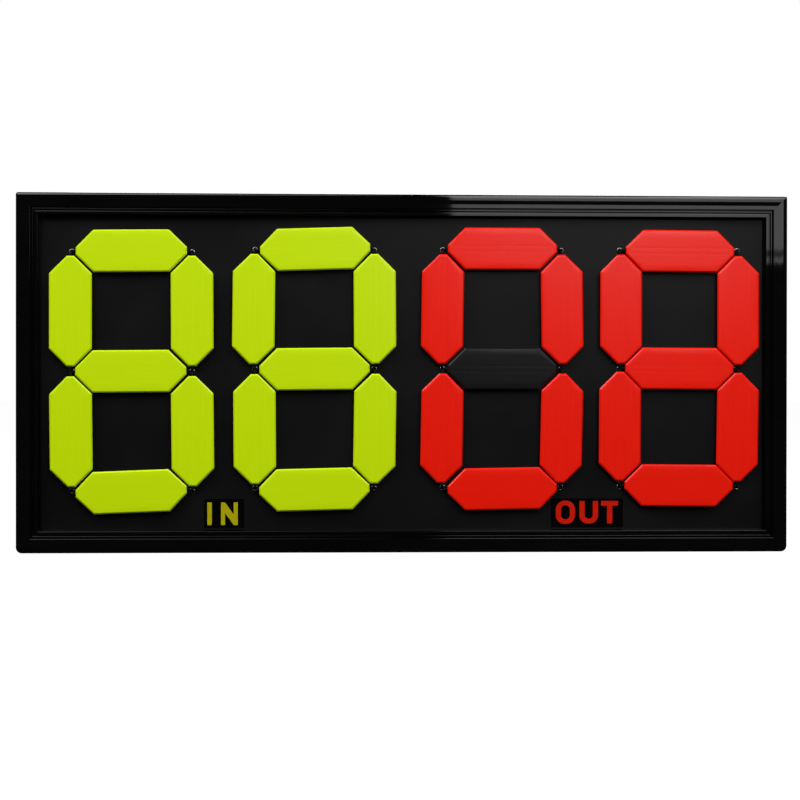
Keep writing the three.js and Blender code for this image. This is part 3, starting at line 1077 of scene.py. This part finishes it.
@dataclass(frozen=True)
class Moulding:
    """The frame's four mitred rails: a broad crowned band, a bead and a lip round the panel.

    Sizes run inwards from the outer edge, and depths back from the panel's front face.
    """

    board: Board
    stand: float = 11.0
    back: float = 19.0
    top_radius: float = 2.0
    bottom_radius: float = 5.5
    edge_radius: float = 2.5
    back_radius: float = 0.8
    band_width: float = 13.4
    band_fall: float = 0.2
    band_lean_share: float = 0.008
    roll_drop: float = 0.08
    roll_length: float = 1.6
    step_at: float = 4.4
    step_width: float = 5.8
    arris_radius: float = 0.35
    groove_depth: float = 2.8
    groove_width: float = 0.5
    bead_width: float = 2.6
    bead_rise: float = 1.4
    bead_side: float = 0.8
    lip_width: float = 3.4
    lip_rise: float = 1.1
    lip_side: float = 0.35
    lip_slope: float = 1.1
    fillet: float = 0.25
    flat_shares: Pair = (0.06, 0.94)
    web_width: float = 12.2
    rebate: float = 4.2
    cover_face: float = 16.5
    mitre_gap: float = 0.06
    corner_zone: float = 3.0
    fillet_steps: int = 4
    heel_steps: int = 5
    edge_steps: int = 10
    band_steps: int = 23
    end_steps: int = 5
    length_steps: int = 14
    sharp: float = 40.0

    def ridge(self, start: Sequence, end: Sequence, sides: Sequence, rise: float) -> Array:
        """A flat-topped ridge with filleted shoulders.

        Args:
            start: foot of its outer side, as (inwards, back).
            end: foot of its inner side.
            sides: sideways run of the outer and of the inner side.
            rise: height of the top in front of the first foot.

        Returns:
            (n, 2) points: the feet, two arcs, and two points that keep the top flat between them.
        """
        top = start[1] - rise
        corners = [start, (start[0] + sides[0], top), (end[0] - sides[1], top), end]
        arcs = rounded(corners, self.fillet, self.fillet_steps)
        outer, inner = np.split(arcs, len(corners))[1:3]
        flat = outer[-1] + (inner[0] - outer[-1]) * np.array(self.flat_shares)[:, None]
        return np.concatenate([[start], outer, flat, inner, [end]])

    def band(self) -> Array:
        """The crowned band with its rounded outer edge and its arris, as (inwards, back).

        It falls in a soft step, band_fall * (1 - cos(pi * share)) / 2 over the step's width,
        between two nearly flat strips, and rolls off to the outer edge by
        roll_drop * exp(-run / roll_length).

        Returns:
            (n, 2) points from the outer edge inwards.
        """
        side = -self.stand + self.roll_drop
        centre = (self.edge_radius, side + self.edge_radius)
        edge = arc(centre, (self.edge_radius,) * 2, (180, 270), self.edge_steps)
        end = self.band_width - self.arris_radius
        run = np.linspace(self.edge_radius, end, self.band_steps + 1)[1:]
        share = np.clip((run - self.step_at) / self.step_width, 0, 1)
        inner = run - self.edge_radius
        fall = self.band_lean_share * inner + self.band_fall * (1 - np.cos(np.pi * share)) / 2
        fall += self.roll_drop * (np.exp(-inner / self.roll_length) - 1)
        crown = np.stack([run, side + fall], axis=1)
        centre = (end, crown[-1, 1] + self.arris_radius)
        arris = arc(centre, (self.arris_radius,) * 2, (290, 360), self.fillet_steps)
        return np.concatenate([edge, crown, arris])

    def section(self) -> Array:
        """The closed section as (inwards, back).

        Returns:
            (n, 2) points, from the back of the outer edge over the front to the back again.
        """
        floor = self.groove_depth - self.stand
        centre = (self.back_radius, self.back - self.back_radius)
        heel = arc(centre, (self.back_radius,) * 2, (90, 180), self.heel_steps)
        bead_at = self.band_width + self.groove_width
        lip_at = bead_at + self.bead_width + self.groove_width
        ends = (bead_at + self.bead_width, floor), (lip_at + self.lip_width + self.lip_slope, 0.0)
        bead = self.ridge((bead_at, floor), ends[0], (self.bead_side,) * 2, self.bead_rise)
        sides = (self.lip_side, self.lip_side + self.lip_slope)
        lip = self.ridge((lip_at, floor), ends[1], sides, self.lip_rise)
        web = [(self.web_width, 0.0), (self.web_width, self.cover_face)]
        web += [(self.rebate, self.cover_face), (self.rebate, self.back)]
        return np.concatenate([heel, self.band(), [(self.band_width, floor)], bead, lip, web])

    def rail_end(self, section: Array, length: float, corner_radius: float) -> Array:
        """The rings of a rail's right end, up to the mitre.

        Where a line of the section lies further in than the corner's radius, it runs straight to
        the mitre at length / 2 - inwards. Lines nearer the edge follow arcs of radius
        corner_radius - inwards to the mitre, so that the two rails share one rounded corner.

        Args:
            section: the rail's section.
            length: outer length of the rail.
            corner_radius: radius of the board's corner there.

        Returns:
            (rings, points, 3) points with the outer edge on Z = 0.
        """
        inwards, depth = section.T
        share = np.linspace(0, 1, self.end_steps + 1)[:, None]
        radius = np.maximum(corner_radius - inwards, 0)
        turn = np.radians(90 - 45 * share)
        round_x = length / 2 - corner_radius + radius * np.cos(turn)
        round_z = radius * np.sin(turn) - corner_radius
        straight_x = length / 2 - inwards - self.corner_zone * (1 - share)
        inner = inwards >= corner_radius
        x = np.where(inner, straight_x, round_x) - self.mitre_gap
        z = np.where(inner, -inwards, round_z)
        return np.stack([x, depth + 0 * x, z], axis=-1)

    def rail(self, length: float, left_radius: float, right_radius: float) -> Surface:
        """One rail along X with its outer edge on Z = 0.

        Args:
            length: outer length of the rail.
            left_radius: radius of the board's corner at its left end.
            right_radius: radius of the board's corner at its right end.

        Returns:
            The closed surface.
        """
        section = self.section()
        share = np.linspace(-1, 1, self.length_steps + 1)[:, None, None]
        ring = np.stack([0 * section[:, 0], section[:, 1], -section[:, 0]], axis=-1)
        middle = ring + share * [length / 2 - 2 * self.web_width, 0, 0]
        left = self.rail_end(section, length, left_radius)[::-1] * [-1, 1, 1]
        grid = np.concatenate([left, middle, self.rail_end(section, length, right_radius)])
        made, cap = gridded(grid), filled([section])
        ends = cap.tolist() + (cap + (len(grid) - 1) * len(section)).tolist()
        return Surface(made.points, made.faces.tolist() + ends)

    def build(self, material: Material) -> None:
        """Builds the four rails, clockwise from the top, and turns each to its side."""
        sides = ("top_rail", "right_stile", "bottom_rail", "left_stile")
        radii = [self.top_radius, self.top_radius, self.bottom_radius, self.bottom_radius]
        spans = [self.board.width, self.board.height]
        for quarter, name in enumerate(sides):
            length, across = spans
            made = self.rail(length, radii[0], radii[1])
            made.points[:, 2] += across / 2
            made.points = self.board.place(turned(made.points, quarter * math.pi / 2))
            finish, slot = [material], "frame_moulding"
            make_piece(f"{name}_moulding", made, finish, replaces=(name,), sharp=self.sharp)
            radii.append(radii.pop(0))
            spans.reverse()


@dataclass(frozen=True)
class Screw:
    """A cross-recess countersunk screw that points to -Y.

    Its rim counts from the head's face, its thread from the end of the head's cone to thread_end
    short of the point, and its tip from the point.
    """

    head: float = 6.4
    shank: float = 2.8
    face_inset: float = 0.15
    rim_start: float = 0.12
    rim_end: float = 0.25
    thread_start: float = 0.3
    thread_end: float = 1.6
    thread_pitch: float = 1.1
    thread_depth: float = 0.3
    tip: float = 0.8
    tip_share: float = 0.7
    recess_width: float = 0.9
    recess_reach: float = 1.75
    recess_depth: float = 1.3
    recess_side: float = 0.22
    recess_slope: float = 0.5
    columns: int = 48
    face_rings: int = 22
    turn_rings: int = 6
    sharp: float = 40.0

    def recess(self, across: Array, up: Array) -> Array:
        """Depth of the cross, which falls off from the nearer centre line and along the arms."""
        near = np.minimum(np.abs(across), np.abs(up))
        side = np.clip((self.recess_width / 2 - near) / self.recess_side, 0, 1)
        left = np.clip((self.recess_reach - np.hypot(across, up)) / self.recess_slope, 0, 1)
        return self.recess_depth * side * left

    def surface(self, length: float) -> Surface:
        """The screw, whose shank's radius swings with angle / turn + depth / pitch as a thread.

        Args:
            length: of the whole screw.

        Returns:
            The closed surface.
        """
        head, shank = self.head / 2, self.shank / 2
        cone = head - shank
        disc = np.linspace(0, head - self.face_inset, self.face_rings)
        face = np.stack([disc, 0 * disc], axis=1)
        rim = [(head, -self.rim_start), (head, -self.rim_end), (shank, -cone)]
        step = self.thread_pitch / self.turn_rings
        run = np.arange(cone + self.thread_start, length - self.thread_end, step)
        body = np.stack([shank + 0 * run, -run], axis=1)
        tip = [(shank * self.tip_share, self.tip - length), (0.0, -length)]
        profile = np.concatenate([face, rim, body, tip])
        made = lathe(profile, self.columns)
        grid = made.points.reshape(len(profile), self.columns, 3)
        grid[: len(face), :, 1] -= self.recess(grid[..., 0], grid[..., 2])[: len(face)]
        first = len(face) + len(rim)
        angle = np.linspace(0, 1, self.columns, endpoint=False)
        phase = (angle + run[:, None] / self.thread_pitch) % 1
        cut = 1 - self.thread_depth / shank * np.abs(2 * phase - 1)
        grid[first : first + len(run), :, PLAN] *= cut[..., None]
        return made


@dataclass(frozen=True)
class Post:
    """A turned post with chamfered ends and a slightly drawn-in waist."""

    chamfer: float = 0.5
    chamfer_width: float = 0.6
    waist_share: float = 0.07
    waist_rings: int = 9
    columns: int = 40

    def surface(self, radius: float, length: float) -> Surface:
        """The post along Y from y = 0, whose radius grows as a square from its middle outwards."""
        run = np.linspace(self.chamfer, length - self.chamfer, self.waist_rings)
        drawn = radius * (1 - self.waist_share + self.waist_share * (2 * run / length - 1) ** 2)
        flat = radius - self.chamfer_width
        start, end = [(0, 0), (flat, 0)], [(flat, length), (0, length)]
        return lathe(np.concatenate([start, np.stack([drawn, run], axis=1), end]), self.columns)


@dataclass(frozen=True)
class Back:
    """The back cover with its countersunk screws, and the posts between it and the panel."""

    screw: Screw = Screw()
    post: Post = Post()
    sink: float = 0.2
    clearance: float = 0.15
    edge: float = 0.1
    screw_turn: float = 37.0
    hole_steps: int = 40
    screws: int = 8
    posts: int = 8

    def build_cover(self, material: Material) -> None:
        """The cover plate, with a cone for each screw head that narrows to the shank's hole."""
        box = Box.of("back_cover")
        front, back = box.front, box.back
        steps = chamfered(self.edge, front, back)
        outlines = [[(box.outline(inset), depth) for inset, depth in steps]]
        head, shank = (size / 2 + self.clearance for size in (self.screw.head, self.screw.shank))
        seat = back - self.sink
        cone = ((shank, front), (shank, seat - (head - shank)), (head, seat), (head, back))
        for number in range(1, self.screws + 1):
            centre = Box.of(f"cover_screw_{number}").middle
            outlines.append([(circle(centre, r, self.hole_steps), depth) for r, depth in cone])
        finish, nodes = [material], ("back_cover",)
        make_piece("grained_back_cover", plate(outlines), finish, replaces=nodes)

    def build_screws(self, material: Material) -> None:
        """Places a screw on each CAD screw, each turned by its own angle."""
        for number in range(1, self.screws + 1):
            node = f"cover_screw_{number}"
            box = Box.of(node)
            made = self.screw.surface(box.back - box.front)
            made.points = turned(made.points, -math.radians(self.screw_turn * number))
            made.points += at_depth(box.middle, box.back)
            name, slot = f"cross_head_screw_{number}", "plated_steel"
            make_piece(name, made, [material], replaces=(node,), sharp=self.screw.sharp)

    def build_posts(self, material: Material) -> None:
        """Places a turned post on each CAD post."""
        for number in range(1, self.posts + 1):
            node = f"panel_post_{number}"
            box = Box.of(node)
            made = self.post.surface(box.size[0] / 2, box.back - box.front)
            made.points += at_depth(box.middle, box.front)
            make_piece(f"turned_post_{number}", made, [material], replaces=(node,))


@dataclass(frozen=True)
class Word:
    """A label's letters, their gaps, and how far right of and above its middle they stand."""

    letters: str
    gaps: tuple[float, ...]
    right: float
    up: float


WORDS = {
    "in_label": Word("IN", gaps=(8.6,), right=-1.5, up=-0.4),
    "out_label": Word("OUT", gaps=(4.1, 2.9), right=0.0, up=0.4),
}


@dataclass(frozen=True)
class Labels:
    """The two dark label plates and their plain block letters.

    Shares are of a letter's width or of its stem.
    """

    letter_height: float = 21.2
    film: float = 0.35
    film_gap: float = 0.01
    corner: float = 0.5
    stem: float = 5.0
    i_stem: float = 4.2
    n_stem: float = 3.8
    bar: float = 4.4
    n_width: float = 15.7
    o_width: float = 18.3
    u_width: float = 17.8
    t_width: float = 16.2
    overshoot: float = 0.4
    n_slant_share: float = 2.565
    o_shares: Pair = (0.46, 0.48)
    u_outer_share: float = 0.44
    u_floor_share: float = 0.9
    plate_edge: float = 0.12
    plate_corner: float = 0.8
    plate_steps: int = 3
    corner_steps: int = 2
    bend_steps: int = 10
    round_steps: int = 12

    def letter_i(self) -> tuple[float, list[Array]]:
        """A straight stem."""
        size = np.array([self.i_stem, self.letter_height])
        return self.i_stem, [rounded(rectangle(size) + size / 2, self.corner, self.corner_steps)]

    def letter_n(self) -> tuple[float, list[Array]]:
        """Two stems and a diagonal, whose half turn about the middle is the letter itself."""
        wide, high, stem = self.n_width, self.letter_height, self.n_stem
        slant = self.n_slant_share * stem
        half = np.array([[0, 0], [stem, 0], [stem, high - slant], [wide - stem, 0], [wide, 0]])
        corners = np.concatenate([half, [wide, high] - half])
        return wide, [rounded(corners, self.corner / 2, self.corner_steps)]

    def letter_t(self) -> tuple[float, list[Array]]:
        """A stem under a bar."""
        wide, high, under = self.t_width, self.letter_height, self.letter_height - self.bar
        left, right = (wide - self.stem) / 2, (wide + self.stem) / 2
        foot = [(left, 0), (right, 0), (right, under), (wide, under)]
        top = [(wide, high), (0, high), (0, under), (left, under)]
        return wide, [rounded(foot + top, self.corner, self.corner_steps)]

    def letter_u(self) -> tuple[float, list[Array]]:
        """Two stems joined by a bend, round outside and inside."""
        wide, high, stem = self.u_width, self.letter_height, self.stem
        bend, hollow = wide * self.u_outer_share, (wide - 2 * stem) / 2
        right = arc((wide - bend, bend), (bend, bend), (-90, 0), self.bend_steps)
        left = arc((bend, bend), (bend, bend), (180, 270), self.bend_steps)
        centre = (wide / 2, stem * self.u_floor_share + hollow)
        inside = arc(centre, (hollow, hollow), (0, -180), self.round_steps)
        tops = [(wide, high), (wide - stem, high)], [(stem, high), (0, high)]
        return wide, [np.concatenate([right, tops[0], inside, tops[1], left[:-1]])]

    def letter_o(self) -> tuple[float, list[Array]]:
        """A rounded ring, a little taller than the other letters."""
        wide, high = self.o_width, self.letter_height
        outer = np.array([wide, high + 2 * self.overshoot])
        inner = outer - 2 * np.array([self.stem, self.bar])
        steps = (self.round_steps, self.bend_steps)
        rings = []
        for size, share, count in zip((outer, inner), self.o_shares, steps):
            corners = rectangle(size) + [wide / 2, high / 2]
            rings.append(rounded(corners, size[0] * share, count))
        return wide, rings

    def build(self, node: str, word: Word, film: Material, ink: Material) -> None:
        """Builds one label and its word.

        Args:
            node: the label's CAD node.
            word: what stands on it.
            film: material of the plate.
            ink: material of the letters.
        """
        box, edge = Box.of(node), self.plate_edge
        rings = []
        for inset, depth in ((edge, box.front), (0.0, box.front + edge), (0.0, box.back)):
            ring = rounded(box.outline(inset), self.plate_corner, self.plate_steps)
            rings.append((ring, depth))
        make_piece(f"{node}_plate", plate([rings]), [film], replaces=(node,))
        shapes = {
            "I": self.letter_i,
            "N": self.letter_n,
            "O": self.letter_o,
            "U": self.letter_u,
            "T": self.letter_t,
        }
        letters = [shapes[letter]() for letter in word.letters]
        wide = sum(width for width, _ in letters) + sum(word.gaps)
        start = box.middle + [word.right - wide / 2, word.up - self.letter_height / 2]
        levels = (box.front - self.film, box.front - self.film_gap)
        parts = []
        for (width, outlines), gap in zip(letters, (*word.gaps, 0.0)):
            parts.append(plate([[(line + start, depth) for depth in levels] for line in outlines]))
            start = start + [width + gap, 0]
        make_piece(f"{node}_letters", joined(parts), [ink])


@dataclass(frozen=True)
class Lamp:
    """A rectangular soft box.

    at, its width and height, and aim_height are in metres, and glow is how bright its cloth is,
    where 1 is the white of the picture. It faces the middle of the board, or, where it is level,
    the board's middle line at its own height.
    """

    name: str
    at: Triple
    size: Pair
    glow: float
    level: bool = False
    aim_height: float = 0.17

    def build(self) -> None:
        """Adds the lamp; its power is glow * pi * area."""
        data = bpy.data.lights.new(self.name, "AREA")
        data.shape = "RECTANGLE"
        data.size, data.size_y = self.size
        data.energy = self.glow * math.pi * self.size[0] * self.size[1]
        lamp = bpy.data.objects.new(self.name, data)
        lamp.location = self.at
        aim = Vector((0, 0, self.at[2] if self.level else self.aim_height))
        lamp.rotation_euler = (aim - Vector(self.at)).to_track_quat("-Z", "Y").to_euler()
        bpy.context.scene.collection.objects.link(lamp)


LAMPS = (
    Lamp("upper_left_box", (-1.5, -1.5, 2.3), (3.0, 2.4), 4.1),
    Lamp("upper_right_box", (1.7, -1.5, 2.3), (2.6, 2.4), 2.8),
    Lamp("strip_sill", (0.56, -1.75, 0.417), (0.6, 0.008), 2.4, True),
    Lamp("strip_low", (0.515, -1.75, 0.527), (0.71, 0.186), 1.6, True),
    Lamp("strip_middle", (0.515, -1.75, 0.81), (0.71, 0.38), 3.2, True),
    Lamp("strip_high", (0.515, -1.75, 1.6), (0.71, 1.2), 5.0, True),
    Lamp("back_box", (0.4, 1.9, 1.5), (2.2, 1.0), 6.0),
)


@dataclass(frozen=True)
class Studio:
    """Camera, lights, floor and background.

    The camera stands 1.5 m in front of the panel, a little left of the middle and low, as the
    frame's corners in the photograph ask.
    """

    board: Board
    camera_at: Triple = (-60.15, -1500.0, -19.15)
    yaw: float = 2.14
    pitch: float = -0.22
    roll: float = 0.06
    focal_pixels: float = 1593.7
    image_pixels: float = 800.0
    sensor: float = 36.0
    floor_reach: float = 30000.0
    floor_colour: str = "3A3A39"
    floor_rough: float = 0.9
    floor_glow: float = 0.98
    room_glow: float = 0.025
    white: str = "FFFFFF"

    def build(self) -> None:
        """Makes the camera, the lights, the floor and the background."""
        self.build_camera()
        for lamp in LAMPS:
            lamp.build()
        self.build_floor()
        self.build_world()
        bpy.context.scene.view_settings.view_transform = "Standard"

    def build_camera(self) -> None:
        """Aims the camera: yaw turns it to the right, pitch up and roll clockwise."""
        yaw, pitch, roll = (math.radians(angle) for angle in (self.yaw, self.pitch, self.roll))
        level = Vector((math.sin(yaw), math.cos(yaw), 0))
        ahead = level * math.cos(pitch) + Vector((0, 0, math.sin(pitch)))
        right = Vector((math.cos(yaw), -math.sin(yaw), 0))
        axes = Matrix((right, right.cross(ahead), -ahead)).transposed().to_4x4()
        data = bpy.data.cameras.new("camera")
        data.sensor_width = self.sensor
        data.lens = self.focal_pixels / self.image_pixels * self.sensor
        camera = bpy.data.objects.new("camera", data)
        place = Matrix.Translation(self.board.place(np.array(self.camera_at)) * MM)
        camera.matrix_world = place @ axes @ Matrix.Rotation(roll, 4, "Z")
        bpy.context.scene.collection.objects.link(camera)
        bpy.context.scene.camera = camera

    def build_floor(self) -> None:
        """A wide pale floor that the board stands on, left out of its reflections."""
        mesh = bpy.data.meshes.new("floor")
        corners = rectangle((2 * self.floor_reach * MM,) * 2)
        mesh.from_pydata([(*corner, 0) for corner in corners.tolist()], [], [(0, 1, 2, 3)])
        floor = bpy.data.objects.new("floor", mesh)
        paper = bpy.data.materials.new("white_paper")
        paper.use_nodes = True
        tree = paper.node_tree
        inputs = {"Base Color": linear(self.floor_colour), "Roughness": self.floor_rough}
        inputs |= {"Emission Color": linear(self.white), "Emission Strength": self.floor_glow}
        wire(tree, tree.nodes["Principled BSDF"], inputs)
        mesh.materials.append(paper)
        floor.visible_glossy = False
        floor.visible_diffuse = False
        bpy.context.scene.collection.objects.link(floor)

    def build_world(self) -> None:
        """White behind the board for the camera, and a dim even room for everything else."""
        world = bpy.data.worlds.new("studio")
        world.use_nodes = True
        tree = world.node_tree
        tree.nodes.clear()
        glows = [{"Color": linear(self.white), "Strength": s} for s in (self.room_glow, 1.0)]
        room, seen = (add_node(tree, "Background", glow).outputs[0] for glow in glows)
        camera_ray = add_node(tree, "LightPath").outputs["Is Camera Ray"]
        mix = add_node(tree, "MixShader", {0: camera_ray, 1: room, 2: seen})
        add_node(tree, "OutputWorld", {0: mix.outputs[0]})
        bpy.context.scene.world = world


def dress_corner_keys(metal: Material) -> None:
    """Gives the CAD model's own corner keys their metal."""
    for corner in ("top_right", "bottom_right", "bottom_left", "top_left"):
        key = frame["nodes"][f"{corner}_corner_key"]
        key.data.materials.clear()
        key.data.materials.append(metal)
        log.info("%s: carried over", key.name)


def main() -> None:
    """Builds the board and its studio."""
    logging.basicConfig(level=logging.INFO, format="%(message)s")
    board = Board.from_frame()
    Studio(board).build()
    zinc = PlatedMetal("8E8E88", "B4B4AE", (0.28, 0.42)).material("zinc_plated_steel")
    black = FlapPolypropylene("0C0C0D", "0F0F10").material("black_polypropylene")
    lime = FlapPolypropylene("C0DF01", "C4E203").material("lime_polypropylene")
    red = FlapPolypropylene("E51401", "EB1701").material("red_polypropylene")
    inks = {Ink.LIME: lime, Ink.RED: red, Ink.BLACK: black}
    elastic = BraidedElastic().material("braided_elastic")
    nickel = PlatedMetal("8A8884", "AEABA6", (0.14, 0.28)).material("nickelled_brass")
    digits = Digits(board).build(inks, elastic, nickel)
    Panel(board).build(digits, SatinAbsSheet().material("satin_abs_sheet"))
    Moulding(board).build(GlossPolystyrene().material("gloss_polystyrene"))
    back = Back()
    back.build_cover(HaircellAbs().material("haircell_abs"))
    back.build_screws(zinc)
    back.build_posts(black)
    film = CalenderedVinyl("020203", "040405", (0.55, 0.65), 0.02).material("black_vinyl")
    mustard = CalenderedVinyl("A49C02", "ACA404").material("mustard_vinyl")
    scarlet = CalenderedVinyl("BE1400", "C61802").material("red_vinyl")
    for (node, word), ink in zip(WORDS.items(), (mustard, scarlet)):
        Labels().build(node, word, film, ink)
    dress_corner_keys(zinc)


if __name__ == "__main__":
    main()
